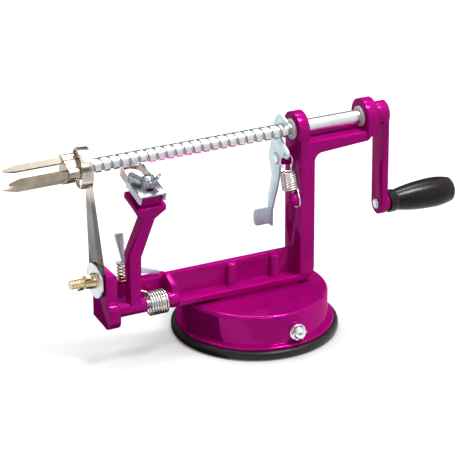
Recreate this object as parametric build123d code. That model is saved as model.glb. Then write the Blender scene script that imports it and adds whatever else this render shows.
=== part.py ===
from build123d import *
import math
import os

os.makedirs("parts", exist_ok=True)

# fits
run_gap = 0.05
bush_gap = 0.16
fixed_gap = 0.03
swing_gap = 0.4

# feed shaft, along X
shaft_dia = 9.5
shaft_z = 136.0
feed_pitch = 6.35
groove_depth = 1.0
groove_width = 2.4
thread_end_x = 26.0

# cast frame
half_depth = 11.0
drum_z1 = 28.5
plateau_h = 2.5
ledge_z0 = drum_z1 + plateau_h
ledge_z1 = ledge_z0 + 3.5
web_y0 = -1.0
web_y1 = web_y0 + 4.0
web_z1 = ledge_z1 + 16.5
wall_x0 = -66.0
wall_x1 = wall_x0 + 4.0
wall_front_z = web_z1 - 4.5
upright_x0 = 28.5
upright_x1 = upright_x0 + 10.5
front_boss_r = 11.6
front_boss_x0 = upright_x0 - 1.0
front_boss_x1 = front_boss_x0 + 7.5
rear_boss_r = 12.0
rear_boss_x0 = 78.5
rear_boss_x1 = rear_boss_x0 + 8.0
rear_boss_z0 = shaft_z - 11.0
top_arm_z1 = shaft_z - 7.5
top_arm_root_z0 = top_arm_z1 - 8.5
top_arm_tip_z0 = top_arm_z1 - 6.1
pillar_x = (-18.0, 14.0)
pillar_y = web_y0 - 0.2
pillar_r = 4.0
pillar_z1 = web_z1 - 0.8
end_x0 = -112.3
end_x1 = end_x0 + 7.8
end_z0 = ledge_z0 - 6.0
end_z1 = end_z0 + 42.5
end_chamfer = 5.0
end_drop = 7.2
neck_y0 = web_y1
neck_z0 = ledge_z0 - 3.5
neck_z1 = neck_z0 + 20.5

# nylon bushes
bush_r = 5.8
bush_flange_r = bush_r + 1.1
bush_flange = 1.4

# suction base
pad_r = 56.0
pad_h = 6.0
drum_r = 48.8
drum_wall = 3.0
flange_r = drum_r + 4.2
flange_h = 2.0
plateau_x = 64.0
plateau_y = 19.0
cam_x = 6.0
cam_z = drum_z1 - 13.5
cam_shaft_r = 3.0
cam_throw = 2.83
pad_lift = 4.0
boss_y = drum_r + 0.6
suction_lever_len = 52.0

# base screws
screw_r = 2.0
screw_head_r = 3.4
screw_head_h = 1.8
screw_len = 15.0

# fork
hub_x1 = -124.0
hub_x0 = hub_x1 - 11.0
hub_depth = 8.0
prong_len = 39.5
prong_pitch_r = 7.0
prong_width = 4.4
prong_thick = 3.8
prong_taper = 8.0
prong_seat = 2.8
prong_angles = (55.0, 175.0, 295.0)

# crank
crank_hub_x0 = rear_boss_x1 + 2.4
crank_x0 = crank_hub_x0 + 3.5
crank_x1 = crank_x0 + 4.6
crank_half = 7.2
crank_len = 65.5
crank_cap = 1.8
crank_hub_r = 8.0
axle_boss_h = 3.0
axle_boss_r = 6.4
axle_r = 3.0
axle_head_r = axle_r + 0.4
grip_len = 52.0
grip_neck_r = 7.0
grip_belly_r = 10.2

# release lever
lever_x0 = 20.0
lever_thick = 1.5
lever_pivot_y = 8.0
lever_pivot_z = shaft_z - 22.5
lever_pivot_r = 2.5
lever_tail_y = lever_pivot_y + 12.4
tooth_angle = 20.0
tooth_width = 2.6
tab_len = 12.0

# release spring
tension_wire = 1.1
tension_r = 4.95
tension_turns = 7.75
tension_pitch = 1.56
tension_loop_r = 4.5
tension_reach = 3.0
tension_lean = 0.14
stud_y = -9.0
stud_z = shaft_z - 46.5
stud_r = 1.9
ball_r = 4.2
ball_out = 3.7
stud_loop_r = 5.2
stud_loop_out = 2.2
stud_rise = 7.2

# peeler arm
pivot_y = -9.0
pivot_z = ledge_z0 + 5.7
rod_r = 3.0
lug_r = 7.0
arm_hub_r = 5.0
arm_hub_x0 = end_x1 + swing_gap
arm_hub_x1 = arm_hub_x0 + 19.6
arm_foot_x = arm_hub_x1 - 7.9
arm_head_x = arm_foot_x + 9.9
arm_head_z = shaft_z - 38.5
arm_bend_z = arm_head_z - 23.0
arm_width = 8.4
arm_foot_width = 6.8
arm_back_y = pivot_y + arm_width / 2
arm_front_y = pivot_y - arm_width / 2

# torsion spring
torsion_wire = 1.3
torsion_r = 7.6
torsion_turns = 6.75
torsion_pitch = 1.8
torsion_x0 = arm_hub_x1 + 2.3

# blade head, tilted about X
head_x = arm_head_x + 2.0
head_y = pivot_y + 2.5
head_z = shaft_z - 17.7
head_tilt = 14.0
clip_width = 18.6
clip_len = 21.0
clip_thick = 1.2
clip_flange = 6.4
platform_gap = 3.8
platform_thick = 3.4
tongue_recess = 2.5
blade_thick = 0.8
blade_reach = 29.0
bow_rise = 2.5
nut_bore_r = 2.5

# slicing blade and coring ring
blade_thick_x = 1.5
blade_x0 = end_x0 - blade_thick_x
slicer_y = 2.0
slicer_z = end_z1 - 12.0
slicer_half = 10.6
slicer_top_half = 6.9
slicer_bend_z = end_z1 + 1.0
ring_x = hub_x1 + 2.4
ring_len = 7.4
ring_r = 13.4
ring_wall = 1.2
ring_turn = -9.0
washer_r = 12.0
washer_thick = 1.5
slicer_stud_r = 3.0
slicer_stud_x0 = blade_x0 - 18.2

# arm catch
catch_y0 = web_y1 + 2.2
catch_thick = 1.5
catch_pivot_x = end_x1 + 19.5
catch_pivot_z = neck_z1 + 8.0
catch_pin_r = 1.75
catch_spring_x = catch_pivot_x - 8.5
catch_spring_y = catch_y0 + 0.8
catch_pad_z = neck_z1 + 14.0
compress_wire = 1.0
compress_r = 2.95
compress_turns = 5.5


def box(x0, x1, y0, y1, z0, z1):
    return Pos((x0 + x1) / 2, (y0 + y1) / 2, (z0 + z1) / 2) * Box(x1 - x0, y1 - y0, z1 - z0)


def bar_x(x0, x1, y, z, r):
    return Pos((x0 + x1) / 2, y, z) * Rot(0, 90, 0) * Cylinder(r, x1 - x0)


def bar_y(y0, y1, x, z, r):
    return Pos(x, (y0 + y1) / 2, z) * Rot(90, 0, 0) * Cylinder(r, y1 - y0)


def bar_z(z0, z1, x, y, r):
    return Pos(x, y, (z0 + z1) / 2) * Cylinder(r, z1 - z0)


def plate_x(points, x0, x1):
    outline = Polyline(*[(x0, y, z) for y, z in points], close=True)
    return extrude(make_face(outline), amount=x1 - x0, dir=(1, 0, 0))


def plate_y(points, y0, y1):
    outline = Polyline(*[(x, y0, z) for x, z in points], close=True)
    return extrude(make_face(outline), amount=y1 - y0, dir=(0, 1, 0))


def edges_near(part, axis, x=None, y=None, z=None, tol=0.2):
    found = []
    for edge in part.edges().filter_by(axis):
        c = edge.center()
        if x is not None and abs(c.X - x) > tol:
            continue
        if y is not None and abs(c.Y - y) > tol:
            continue
        if z is not None and abs(c.Z - z) > tol:
            continue
        found.append(edge)
    return found


def save(name, *solids):
    part = solids[0] if len(solids) == 1 else Compound(list(solids))
    export_step(part, f"parts/{name}.step")


def biarc(p, t, q, s):
    v = q - p
    if t.cross(v).length < 1e-6 and t.dot(s) > 0.999999:
        return [Edge.make_line(p, q)]
    spread = 2 * (1 - t.dot(s))
    along = v.dot(t + s)
    if spread < 1e-9:
        d = v.dot(v) / (2 * along)
    else:
        d = (math.sqrt(along * along + spread * v.dot(v)) - along) / spread
    a = p + t * d
    b = q - s * d
    mid = (a + b) * 0.5
    first = Edge.make_tangent_arc(p, t, mid)
    second = Edge.make_tangent_arc(mid, (b - a).normalized(), q)
    return [first, second]


def least_gap(path, wire_dia, count=700):
    pts = [path.position_at(i / count) for i in range(count + 1)]
    step = path.length / count
    skip = int(3 * wire_dia / step) + 1
    best = 1e9
    for i in range(0, count + 1):
        for j in range(i + skip, count + 1):
            best = min(best, (pts[i] - pts[j]).length)
    return best - wire_dia


def wound(name, nodes, wire_dia):
    edges = []
    for (p, t), (q, s) in zip(nodes, nodes[1:]):
        edges += biarc(p, t, q, s)
    path = Wire(edges)
    p, t = nodes[0]
    tube = sweep(Plane(origin=p, z_dir=t) * Circle(wire_dia / 2), path=path)
    print(f"{name} least gap {least_gap(path, wire_dia):.2f} mm")
    return tube


def helix_nodes(origin, u, v, w, r, pitch, turns):
    rise = pitch / (2 * math.pi * r)
    marks = [i / 2 for i in range(math.floor(2 * turns) + 1)]
    if turns > marks[-1]:
        marks.append(turns)
    nodes = []
    for mark in marks:
        a = 2 * math.pi * mark
        out = u * math.cos(a) + v * math.sin(a)
        along = v * math.cos(a) - u * math.sin(a) + w * rise
        nodes.append((origin + out * r + w * (pitch * mark), along.normalized()))
    return nodes


def frame():
    foot = plate_y([(wall_x0, ledge_z0), (upright_x1, ledge_z0), (upright_x1, top_arm_z1),
                    (front_boss_x1, top_arm_z1), (front_boss_x1, shaft_z), (upright_x0, shaft_z),
                    (upright_x0, ledge_z1), (wall_x0, ledge_z1)],
                   -half_depth, half_depth)
    foot = fillet(edges_near(foot, Axis.Y, x=upright_x1, z=ledge_z0), 8)
    foot = fillet(edges_near(foot, Axis.Y, x=upright_x0, z=ledge_z1), 3)
    web = box(wall_x0, upright_x0 + 1, web_y0, web_y1, ledge_z1 - 1, web_z1)
    wall = plate_x([(-half_depth, ledge_z0), (web_y1, ledge_z0), (web_y1, web_z1),
                    (web_y0, web_z1), (-half_depth, wall_front_z)], wall_x0, wall_x1)
    body = foot + web + wall
    for x in pillar_x:
        pillar = bar_z(ledge_z1 - 1, pillar_z1, x, pillar_y, pillar_r)
        body += fillet(pillar.edges().group_by(Axis.Z)[-1], pillar_r * 0.6)
    body += top_arm()
    body += bar_x(front_boss_x0, front_boss_x1, 0, shaft_z, front_boss_r)
    body += rear_boss()
    body += end_block()
    body += bar_x(wall_x0 - 3, wall_x1, pivot_y, pivot_z, torsion_r - 1.6 * torsion_wire)
    body += bar_x(upright_x0 - ball_out, upright_x0 + 1, stud_y, stud_z, stud_r)
    body += Pos(upright_x0 - ball_out, stud_y, stud_z) * Sphere(ball_r)
    body += bar_x(lever_x0 + lever_thick + swing_gap, upright_x0 + 1, lever_pivot_y, lever_pivot_z, 5.0)
    body += catch_lug()
    return body - frame_holes()


def top_arm():
    arm = plate_y([(upright_x0 + 2, top_arm_root_z0 - 9), (upright_x1, top_arm_root_z0 - 9),
                   (upright_x1, top_arm_root_z0), (rear_boss_x0 + 3, top_arm_tip_z0),
                   (rear_boss_x0 + 3, top_arm_z1), (upright_x0 + 2, top_arm_z1)],
                  -half_depth, half_depth)
    arm = fillet(edges_near(arm, Axis.Y, x=rear_boss_x0 + 3, z=top_arm_tip_z0), 4)
    return fillet(edges_near(arm, Axis.Y, x=upright_x1, z=top_arm_root_z0), 6)


def rear_boss():
    boss = bar_x(rear_boss_x0, rear_boss_x1, 0, shaft_z, rear_boss_r)
    boss += box(rear_boss_x0, rear_boss_x1, -rear_boss_r, rear_boss_r, rear_boss_z0, shaft_z)
    low = rear_boss_z0 - rear_boss_r
    return boss - box(rear_boss_x0 - 1, rear_boss_x1 + 1, -rear_boss_r, rear_boss_r, low, rear_boss_z0)


def end_block():
    post = plate_x([(-half_depth, end_z0), (half_depth, end_z0 + 2), (half_depth, end_z1),
                    (-half_depth + end_chamfer, end_z1), (-half_depth, end_z1 - end_chamfer * 1.16)],
                   end_x0, end_x1)
    post = fillet(edges_near(post, Axis.X, y=half_depth, z=end_z1), 4)
    post -= plate_y([(end_x0, end_z1), (end_x1 + 1, end_z1 - end_drop), (end_x1 + 1, end_z1 + 1),
                     (end_x0, end_z1 + 1)], -half_depth - 1, half_depth + 1)
    low_z = end_z0 + lug_r
    lug = bar_x(end_x0, end_x1, pivot_y, pivot_z, lug_r) + bar_x(end_x0, end_x1, pivot_y, low_z, lug_r)
    lug += box(end_x0, end_x1, pivot_y - lug_r, pivot_y + 1, low_z, pivot_z)
    neck = box(end_x1 - 1, wall_x1, neck_y0, half_depth, neck_z0, neck_z1)
    return post + lug + neck


def catch_lug():
    x = catch_pivot_x
    lug = plate_y([(x - 4.4, neck_z1 - 1), (x + 6, neck_z1 - 1), (x + 3.4, catch_pivot_z + 2),
                   (x, catch_pivot_z + 3.6), (x - 3.4, catch_pivot_z + 2)],
                  catch_y0 + catch_thick + swing_gap, half_depth)
    nib = bar_z(neck_z1 - 1, neck_z1 + 4, catch_spring_x, catch_spring_y, compress_r - compress_wire)
    return lug + nib


def frame_holes():
    bush_bore = bush_r + fixed_gap
    holes = bar_x(front_boss_x0 - 1, front_boss_x1 + 1, 0, shaft_z, bush_bore)
    holes += bar_x(rear_boss_x0 - 1, rear_boss_x1 + 1, 0, shaft_z, bush_bore)
    holes += bar_x(end_x0 + 1.6, wall_x1 + 1, pivot_y, pivot_z, rod_r + fixed_gap)
    holes += bar_x(end_x0 - 1, end_x1 + 1, slicer_y, slicer_z, slicer_stud_r + fixed_gap)
    holes += bar_x(lever_x0, upright_x1 + 1, lever_pivot_y, lever_pivot_z, lever_pivot_r + fixed_gap)
    holes += bar_y(catch_y0, half_depth + 1, catch_pivot_x, catch_pivot_z, catch_pin_r + fixed_gap)
    for x in pillar_x:
        holes += bar_z(ledge_z0 - 1, ledge_z0 + screw_len, x, pillar_y, screw_r + fixed_gap)
    leg = torsion_leg_end()
    holes += bar_x(wall_x0 - 1, wall_x1 - 1, leg.Y, leg.Z, torsion_wire / 2 + 0.3)
    return holes


def bush(face_x, length):
    sleeve = bar_x(face_x, face_x + length, 0, shaft_z, bush_r)
    rim = bar_x(face_x - bush_flange, face_x, 0, shaft_z, bush_flange_r)
    body = sleeve + rim - bar_x(face_x - 5, face_x + length + 5, 0, shaft_z, shaft_dia / 2 + bush_gap)
    return body.rotate(Axis((0, 0, shaft_z), (1, 0, 0)), 110)


def base_housing():
    drum = bar_z(pad_h, drum_z1, 0, 0, drum_r)
    drum = fillet(drum.edges().group_by(Axis.Z)[-1], 2.5)
    rim = bar_z(pad_h, pad_h + flange_h, 0, 0, flange_r)
    rim = fillet(rim.edges().group_by(Axis.Z)[-1], 1.2)
    tray = Pos(-1, 0, drum_z1) * extrude(RectangleRounded(plateau_x, plateau_y, 6), ledge_z0 - drum_z1)
    bosses = bar_y(-boss_y, -drum_r + 6, cam_x, cam_z, 6.6)
    bosses += bar_y(drum_r - 6, boss_y, cam_x, cam_z, 6.6)
    body = drum + rim + tray + bosses
    body -= bar_z(pad_h - 1, drum_z1 - drum_wall, 0, 0, drum_r - drum_wall)
    body -= bar_y(-70, 70, cam_x, cam_z, cam_shaft_r + run_gap)
    for x in pillar_x:
        body -= bar_z(0, 60, x, pillar_y, screw_r + 0.2)
    return body


def base_screws():
    top = drum_z1 - drum_wall
    screws = []
    for x in pillar_x:
        head = bar_z(top - screw_head_h, top, x, pillar_y, screw_head_r)
        shank = bar_z(top, ledge_z0 + screw_len - 1, x, pillar_y, screw_r)
        low = top - screw_head_h
        slot = box(x - 4, x + 4, pillar_y - 0.5, pillar_y + 0.5, low, low + 0.8)
        screws.append(head + shank - slot)
    return screws


def suction_pad():
    pad = bar_z(0, pad_h, 0, 0, pad_r)
    pad = fillet(pad.edges().group_by(Axis.Z)[-1], 2.4)
    return fillet(pad.edges().group_by(Axis.Z)[0], 1.8)


def cam_point():
    a = math.radians(45)
    return cam_x + cam_throw * math.cos(a), cam_z - cam_throw * math.sin(a)


def cam_shaft():
    pin_x, pin_z = cam_point()
    cheek_x = (cam_x + pin_x) / 2
    cheek_z = (cam_z + pin_z) / 2
    cheek_r = cam_throw / 2 + cam_shaft_r + 0.2
    body = bar_y(-boss_y - 4.9, -3.6, cam_x, cam_z, cam_shaft_r)
    body += bar_y(3.6, boss_y + 6, cam_x, cam_z, cam_shaft_r)
    body += bar_y(-5.4, 5.4, pin_x, pin_z, cam_shaft_r)
    body += bar_y(-5.4, -3.6, cheek_x, cheek_z, cheek_r)
    body += bar_y(3.6, 5.4, cheek_x, cheek_z, cheek_r)
    return body


def pad_plunger():
    pin_x, pin_z = cam_point()
    slot_half = cam_shaft_r + 0.25
    wide = cam_throw - (pin_x - cam_x)
    plate = bar_z(pad_h + 0.1, pad_h + 1.3, 0, 0, 20)
    yoke = box(pin_x - 6.2, pin_x + wide + 6.2, -3, 3, pad_h + 1, pin_z + slot_half + 2.2)
    yoke -= box(pin_x - slot_half, pin_x + wide + slot_half, -4, 4, pin_z - slot_half, pin_z + slot_half)
    return plate + yoke


def suction_lever():
    y0 = boss_y + 0.4
    hub = bar_y(y0, y0 + 6, cam_x, cam_z, 6.6)
    end_x = cam_x + suction_lever_len
    arm = plate_y([(cam_x, cam_z - 5.5), (end_x - 6, cam_z - 4.5), (end_x, cam_z - 2),
                   (end_x, cam_z + 2), (end_x - 6, cam_z + 4.5), (cam_x, cam_z + 5.5)], y0 + 1, y0 + 6)
    thumb = box(end_x - 14, end_x, y0 + 1, y0 + 13, cam_z - 2, cam_z + 2)
    thumb = fillet(edges_near(thumb, Axis.Z, y=y0 + 13), 4)
    return hub + arm + thumb - bar_y(y0 - 1, y0 + 10, cam_x, cam_z, cam_shaft_r + fixed_gap)


def acorn_nut(y0, y1, x, z, across, bore):
    nut = Pos(x, y1, z) * Rot(90, 0, 0) * extrude(RegularPolygon(across / math.sqrt(3), 6), y1 - y0)
    nut += Pos(x, y0 + 0.6, z) * Sphere(across * 0.47)
    nut -= bar_y(y1, y1 + across, x, z, across)
    return nut - bar_y(y0 - 1.4, y1 + 1, x, z, bore)


def drive_shaft():
    r = shaft_dia / 2
    body = bar_x(hub_x1 - hub_depth, crank_x1 - crank_cap, 0, shaft_z, r)
    x0 = lever_x0 + lever_thick / 2 - feed_pitch * (tooth_angle + 90) / 360
    x0 -= feed_pitch * math.ceil((x0 - hub_x1) / feed_pitch - 1)
    turns = math.floor((thread_end_x - x0) / feed_pitch)
    path = Helix(pitch=feed_pitch, height=turns * feed_pitch, radius=r)
    start = path @ 0
    half = groove_width / 2
    tool = Plane(origin=start, x_dir=(1, 0, 0), z_dir=path % 0)
    groove = Polyline((-groove_depth, -half * 0.7), (-groove_depth, half * 0.7), (0.6, half * 1.18),
                      (0.6, -half * 1.18), close=True)
    cutter = sweep(tool * make_face(groove), path=path, is_frenet=True)
    return body - Pos(x0, 0, shaft_z) * Rot(0, 90, 0) * cutter


def fork_hub():
    body = bar_x(hub_x0, hub_x1, 0, shaft_z, 7.4)
    for angle in prong_angles:
        y = prong_pitch_r * math.cos(math.radians(angle))
        z = shaft_z + prong_pitch_r * math.sin(math.radians(angle))
        body += bar_x(hub_x0, hub_x1, y, z, 3.6)
        body -= prong(angle, fixed_gap)
    return body - bar_x(hub_x1 - hub_depth - fixed_gap, hub_x1 + 1, 0, shaft_z, shaft_dia / 2 + fixed_gap)


def prong(angle, grow=0.0):
    wide = prong_side(prong_width / 2 + grow, grow)
    deep = prong_side(prong_thick / 2 + grow, grow)
    bar = extrude(wide, 4, both=True) & Rot(90, 0, 0) * extrude(deep, 4, both=True)
    return Pos(0, 0, shaft_z) * Rot(angle - 90, 0, 0) * Pos(0, 0, prong_pitch_r) * bar


def prong_side(half, grow):
    tip = hub_x0 - prong_len
    seat = hub_x0 + prong_seat + grow
    neck = tip + prong_taper
    return make_face(Polyline((seat, -half), (seat, half), (neck, half), (tip, 0.5), (tip, -0.5), (neck, -half),
                              close=True))


def crank_arm():
    axle_z = shaft_z - crank_len
    body = box(crank_x0, crank_x1, -crank_half, crank_half, axle_z, shaft_z)
    body += bar_x(crank_x0, crank_x1, 0, axle_z, crank_half)
    body += bar_x(crank_hub_x0, crank_x1, 0, shaft_z, crank_hub_r)
    body += bar_x(crank_x1, crank_x1 + axle_boss_h, 0, axle_z, axle_boss_r)
    body -= bar_x(crank_hub_x0 - 1, crank_x1 + 1, 0, shaft_z, shaft_dia / 2 + fixed_gap)
    return body - bar_x(crank_x0 - 1, crank_x1 + axle_boss_h + 1, 0, axle_z, axle_r + fixed_gap)


def crank_screw():
    x = crank_x1 - crank_cap
    head = bar_x(x, crank_x1, 0, shaft_z, shaft_dia / 2)
    head = fillet(head.edges().group_by(Axis.X)[-1], 0.5)
    return head - box(x + 0.8, crank_x1 + 1, -0.6, 0.6, shaft_z - 6, shaft_z + 6)


def thrust_washer():
    x1 = crank_hub_x0 - 0.1
    ring = bar_x(rear_boss_x1 + 0.6, x1, 0, shaft_z, 7.2)
    return ring - bar_x(rear_boss_x1, x1 + 1, 0, shaft_z, shaft_dia / 2 + run_gap)


def grip_axle():
    axle_z = shaft_z - crank_len
    grip_end = crank_x1 + axle_boss_h + swing_gap + grip_len
    body = bar_x(crank_x0 - 1.4, crank_x0, 0, axle_z, axle_head_r)
    body = fillet(body.edges().group_by(Axis.X)[0], 1.0)
    return body + bar_x(crank_x0, grip_end - 6, 0, axle_z, axle_r)


def crank_grip():
    axle_z = shaft_z - crank_len
    x0 = crank_x1 + axle_boss_h + swing_gap
    x1 = x0 + grip_len
    belly = (x0 + 35, grip_belly_r, 0)
    shoulder = (x1 - 3.4, grip_belly_r - 2.0, 0)
    collar = grip_neck_r + 0.7
    line = [ThreePointArc((x0 + 6, grip_neck_r, 0), (x0 + 20, grip_neck_r + 2.35, 0), belly),
            TangentArc(belly, shoulder, tangent=(1, 0, 0)),
            ThreePointArc(shoulder, (x1 - 1.0, grip_belly_r * 0.45, 0), (x1, 0.6, 0)),
            Polyline((x1, 0.6, 0), (x1, 0, 0), (x0, 0, 0), (x0, collar, 0), (x0 + 4.6, collar, 0),
                     (x0 + 6, grip_neck_r, 0))]
    edges = [edge for piece in line for edge in piece.edges()]
    body = Pos(0, 0, axle_z) * revolve(make_face(Wire(edges)), Axis.X)
    return body - bar_x(x0 - 1, x1 - 5.5, 0, axle_z, axle_r + 0.1)


def tension_frame():
    length = tension_pitch * tension_turns + tension_reach + 2 * tension_loop_r
    foot_x = upright_x0 - tension_r - tension_wire / 2 - 0.55
    across = (lever_x0 + lever_thick / 2 - foot_x) / length
    w = Vector(across, tension_lean, math.sqrt(1 - across ** 2 - tension_lean ** 2))
    u = (Vector(1, 0, 0) - w * w.X).normalized()
    return Vector(foot_x, stud_y + 1.4, stud_z + stud_rise), u, w.cross(u), w


def upper_loop():
    foot, u, v, w = tension_frame()
    return foot + w * (tension_pitch * tension_turns + tension_reach + tension_loop_r)


def ear_hole():
    return upper_loop() + tension_frame()[3] * tension_loop_r


def release_spring():
    foot, u, v, w = tension_frame()
    loop = tension_loop_r
    stud = Vector(upright_x0 - stud_loop_out, stud_y, stud_z)
    nodes = []
    for deg in (-315, -225, -135, -45):
        a = math.radians(deg)
        out = Vector(0, math.sin(a), math.cos(a))
        nodes.append((stud + out * stud_loop_r, Vector(0, math.cos(a), -math.sin(a))))
    nodes += helix_nodes(foot, u, v, w, tension_r, tension_pitch, tension_turns)
    for deg in (45, 135, 225, 305):
        a = math.radians(deg)
        out = u * math.sin(a) - w * math.cos(a)
        nodes.append((upper_loop() + out * loop, u * math.cos(a) + w * math.sin(a)))
    p, t = nodes[0]
    q, s = nodes[-1]
    nodes = [(p - t * tension_wire, t)] + nodes + [(q + s * tension_wire, s)]
    return wound("release_spring", nodes, tension_wire)


def release_lever():
    hole = ear_hole()
    x1 = lever_x0 + lever_thick
    py = lever_pivot_y
    pz = lever_pivot_z
    sz = shaft_z
    tail = lever_tail_y
    foot = pz - 51
    outline = [(-6.0, sz + 6.6), (-6.4, sz + 8.2), (0, sz + 10.2), (5.4, sz + 9.6), (9.4, sz + 6.4),
               (11.6, sz + 1.5), (14.4, sz - 9), (16, sz - 14), (py + 10.4, pz + 1), (py + 10.6, pz - 3.5),
               (py + 7.8, pz - 9), (py + 6.4, pz - 14.5), (py + 8.8, pz - 22), (tail - 0.8, pz - 31),
               (tail, pz - 39), (tail, foot), (tail - 5.6, foot), (tail - 5.6, pz - 40), (py + 2.8, pz - 29.5),
               (py - 0.6, pz - 21.5), (py - 3.6, pz - 11.5), (py - 4.6, pz - 5), (py - 4.6, pz + 1.5),
               (hole.Y + 2.2, hole.Z - 2.6), (hole.Y - 2.6, hole.Z - 2.4), (hole.Y - 4.4, hole.Z + 0.6),
               (hole.Y - 4.2, hole.Z + 3), (hole.Y + 1, hole.Z + 6), (2, sz - 6.8)]
    mouth = shaft_dia / 2 + 0.6
    arc = []
    for deg in range(-40, 131, 17):
        a = math.radians(deg)
        arc.append((mouth * math.cos(a), shaft_z + mouth * math.sin(a)))
    plate = plate_x(outline + arc, lever_x0, x1)
    root = shaft_dia / 2 - groove_depth + 0.25
    tooth = box(lever_x0 + 0.15, x1 - 0.15, root, mouth + 1, -tooth_width / 2, tooth_width / 2)
    plate += Pos(0, 0, shaft_z) * Rot(tooth_angle, 0, 0) * tooth
    tab = box(x1 - tab_len, x1, tail - lever_thick, tail, foot, foot + 12)
    plate += fillet(edges_near(tab, Axis.Y, x=x1 - tab_len), 3)
    plate -= bar_x(lever_x0 - 1, x1 + 1, py, pz, lever_pivot_r + run_gap)
    return plate - bar_x(lever_x0 - 1, x1 + 1, hole.Y, hole.Z, tension_wire / 2 + 0.6)


def lever_pivot():
    x1 = lever_x0 - 0.1
    head = bar_x(x1 - 1.0, x1, lever_pivot_y, lever_pivot_z, 4.0)
    head = fillet(head.edges().group_by(Axis.X)[0], 0.7)
    return head + bar_x(x1, upright_x1, lever_pivot_y, lever_pivot_z, lever_pivot_r)


def arm_rod():
    return bar_x(end_x0 + 1.8, wall_x1 - 0.2, pivot_y, pivot_z, rod_r)


def head_place():
    return Pos(head_x, head_y, head_z) * Rot(head_tilt, 0, 0)


def tongue_half():
    return clip_width / 2 - clip_thick - blade_thick - 0.2


def peeler_arm():
    half = arm_width / 2
    low_half = arm_foot_width / 2
    stem = plate_y([(arm_foot_x - low_half, pivot_z), (arm_foot_x + low_half, pivot_z),
                    (arm_foot_x + half, arm_bend_z - 2), (arm_head_x + half, arm_head_z),
                    (arm_head_x + half, arm_head_z + 2), (arm_head_x - half, arm_head_z + 2),
                    (arm_head_x - half, arm_head_z), (arm_foot_x - half, arm_bend_z)],
                   arm_front_y, arm_back_y)
    plate_z1 = -clip_flange - platform_gap
    plate_z0 = plate_z1 - platform_thick
    plate = Pos(0, 0, (plate_z0 + plate_z1) / 2) * Box(clip_width + 2, clip_len + 1, platform_thick)
    plate = fillet(plate.edges().filter_by(Axis.Z), 1.2)
    top = -clip_thick
    tongue = Pos(0, 0, (plate_z1 + top) / 2) * Box(
        2 * tongue_half(), clip_len - 2 * tongue_recess, top - plate_z1)
    low = Pos(arm_head_x, (arm_front_y + arm_back_y) / 2, arm_head_z) * Rectangle(
        arm_width, arm_back_y - arm_front_y)
    high = head_place() * Pos(0, 0, plate_z0 + 0.5) * Rectangle(clip_width + 1.4, clip_len + 0.4)
    flare = loft([low, high], ruled=True)
    hub = bar_x(arm_hub_x0, arm_hub_x1, pivot_y, pivot_z, arm_hub_r)
    body = stem + flare + hub + head_place() * (plate + tongue)
    body -= bar_x(arm_hub_x0 - 1, arm_hub_x1 + 1, pivot_y, pivot_z, rod_r + run_gap)
    body -= head_place() * bar_z(plate_z0 - 3, 1, 0, 0, nut_bore_r + fixed_gap)
    leg = torsion_arm_end()
    return body - bar_x(arm_foot_x, arm_foot_x + half + 1, leg.Y, leg.Z, torsion_wire / 2 + 0.3)


def blade_clip():
    half = clip_width / 2
    top = Pos(0, 0, -clip_thick / 2) * Box(clip_width, clip_len, clip_thick)
    top = fillet(top.edges().filter_by(Axis.Y).group_by(Axis.Z)[-1], 0.7)
    sides = Pos(half - clip_thick / 2, 0, -clip_flange / 2) * Box(clip_thick, clip_len, clip_flange - 1)
    sides += Pos(-half + clip_thick / 2, 0, -clip_flange / 2) * Box(clip_thick, clip_len, clip_flange - 1)
    slot = Pos(0, -1.4, -clip_thick) * extrude(SlotCenterToCenter(5, 2 * nut_bore_r + 0.4, rotation=90), 4,
                                               both=True)
    return head_place() * (top + sides - slot)


def peeler_blade():
    r = tongue_half() + 0.1 + blade_thick / 2
    y0 = -clip_len / 2 + 1
    y1 = blade_reach - r
    path = Polyline((-r, y0), (-r, y1)) + ThreePointArc((-r, y1), (0, y1 + r), (r, y1))
    path += Polyline((r, y1), (r, y0))
    outer = offset(path, blade_thick / 2, side=Side.BOTH)
    high = -clip_thick - 0.1
    strip = Pos(0, 0, -clip_flange + 0.2) * extrude(make_face(outer), high + clip_flange - 0.2)
    bow = Pos(0, 0, high - 0.2) * extrude(make_face(outer), bow_rise + 0.2)
    bow -= Pos(0, clip_len / 2 + 0.6 - blade_reach, 0) * Box(clip_width, 2 * blade_reach, 4 * bow_rise)
    return head_place() * (strip + bow)


def blade_screw():
    low = -clip_flange - platform_gap - platform_thick
    stud = bar_z(low, 7.6, 0, 0, nut_bore_r)
    return head_place() * stud


def wing_nut(bore, body_r, body_h, reach, rise, thick):
    hub = Pos(0, 0, body_h / 2) * Cone(body_r, body_r * 0.8, body_h)
    wing = Polyline((body_r * 0.6, 0, body_h * 0.15), (body_r * 1.15, 0, body_h * 0.3),
                    (reach * 0.96, 0, rise * 0.55), (reach, 0, rise * 0.9), (reach * 0.86, 0, rise),
                    (reach * 0.6, 0, rise * 0.93), (body_r * 0.9, 0, body_h * 0.98),
                    (body_r * 0.6, 0, body_h * 0.98), close=True)
    leaf = Pos(0, -thick / 2, 0) * extrude(make_face(wing), thick, dir=(0, 1, 0))
    nut = hub + leaf + mirror(leaf, Plane.YZ)
    return nut - bar_z(-1, rise + 2, 0, 0, bore + run_gap)


def bent_wing_nut(bore, body_r, body_h, wing_len, wing_thick, angles):
    nut = Pos(0, 0, body_h / 2) * Cone(body_r, body_r * 0.85, body_h)
    flat = Pos(wing_len / 2, 0, 0) * extrude(RectangleRounded(wing_len, body_r * 1.5, body_r * 0.5), wing_thick)
    for side, angle in zip((0, 180), angles):
        nut += Rot(0, 0, side) * Pos(body_r * 0.65, 0, body_h * 0.25) * Rot(0, -angle, 0) * flat
    return nut - bar_z(-1, body_h + 1, 0, 0, bore + run_gap)


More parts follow.
